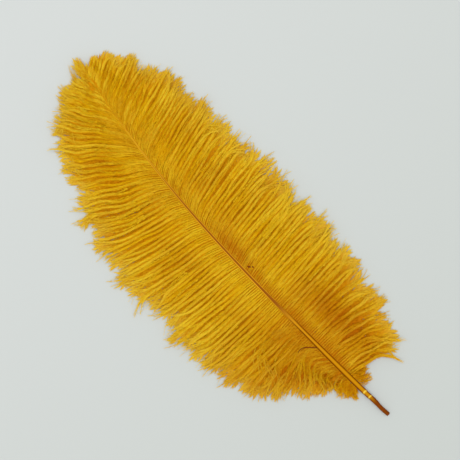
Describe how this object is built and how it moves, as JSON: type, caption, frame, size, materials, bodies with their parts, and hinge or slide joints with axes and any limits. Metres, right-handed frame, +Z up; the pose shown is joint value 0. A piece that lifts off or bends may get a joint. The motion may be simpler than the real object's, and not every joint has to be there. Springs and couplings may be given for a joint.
{
  "type": "ostrich feather",
  "caption": "Single dyed ostrich plume lying flat: a tapering quill with a wide soft vane on each side, its barbs gathered into loose curling locks.",
  "frame": {"origin": "centre of the bounding box in X and Y, on the surface that the feather lies on", "axes": "+X along the feather from the cut end to the tip, +Z up from the surface that it lies on"},
  "size_m": [0.4014, 0.1816, 0.0152],
  "materials": {
    "dyed_barbs": "soft matt, golden yellow dye, paler at the barb tips and browner between the locks",
    "quill": "horn with a low sheen, orange yellow along the crest, tan at the sides and brown at the cut end"
  },
  "bodies": {
    "root": {"feather": "dyed_barbs"}
  },
  "joints": []
}
